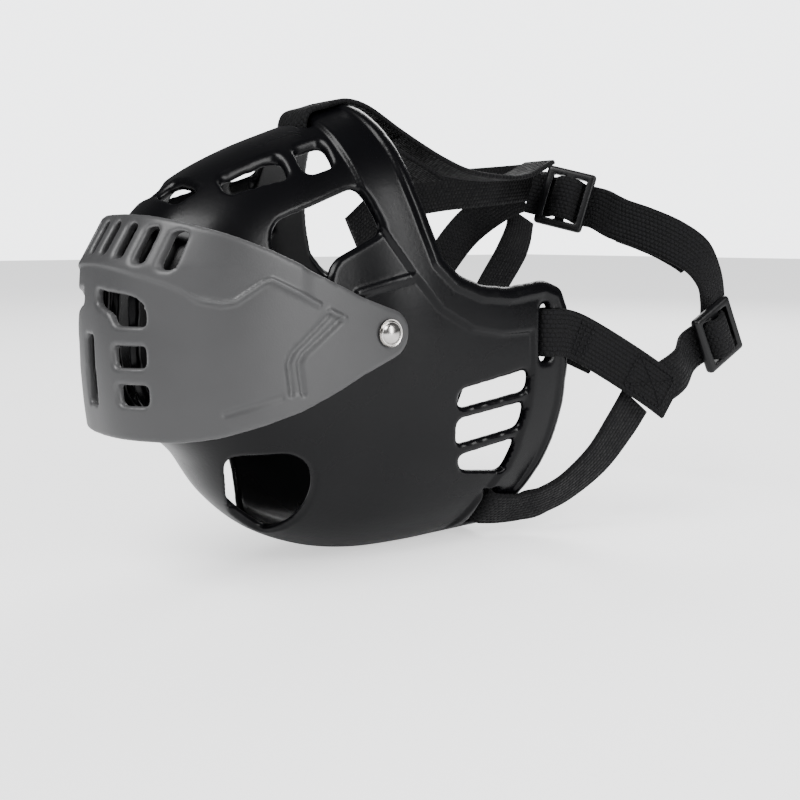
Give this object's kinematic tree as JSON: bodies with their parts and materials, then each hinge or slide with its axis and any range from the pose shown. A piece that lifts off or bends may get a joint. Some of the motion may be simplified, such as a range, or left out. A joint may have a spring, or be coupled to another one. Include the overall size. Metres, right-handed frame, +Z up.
{
  "type": "basket muzzle",
  "caption": "Short-snout basket muzzle: windowed moulded shell, riveted swing-up slotted visor and a webbing neck harness with tri-glide sliders.",
  "frame": {"origin": "centre line of the flat resting patch under the shell, on the surface it stands on", "axes": "+Z up, -Y toward the nose, +X toward the dog's left"},
  "size_m": [0.0672, 0.1429, 0.092],
  "materials": {
    "black_plastic": "glossy moulded",
    "grey_plastic": "satin moulded",
    "nickel": "polished nickel plate",
    "webbing": "ribbed woven tape",
    "slider_plastic": "satin",
    "thread": "sewn thread"
  },
  "bodies": {
    "basket": {"basket_shell": "black_plastic", "rivet_left": "nickel", "rivet_right": "nickel", "rivet_cap_left": "nickel", "rivet_cap_right": "nickel", "washer_left": "nickel", "washer_right": "nickel", "forehead_strap": "webbing", "side_strap_left": "webbing", "side_strap_right": "webbing", "throat_strap_left": "webbing", "throat_strap_right": "webbing", "strap_tail": "webbing", "neck_strap": "webbing", "neck_strap_inner": "webbing", "adjuster_strap": "webbing", "top_slider": "slider_plastic", "lower_slider": "slider_plastic", "stitch_forehead": "thread", "stitch_ear_left": "thread", "stitch_ear_right": "thread", "stitch_joint_left": "thread"},
    "visor": {"visor": "grey_plastic"}
  },
  "joints": [
    {"name": "visor_pivot", "type": "hinge", "parent": "basket", "child": "visor", "pos_m": [0, -0.022, 0.0474], "axis": [-1, 0, 0], "range_deg": [0, 52]}
  ]
}
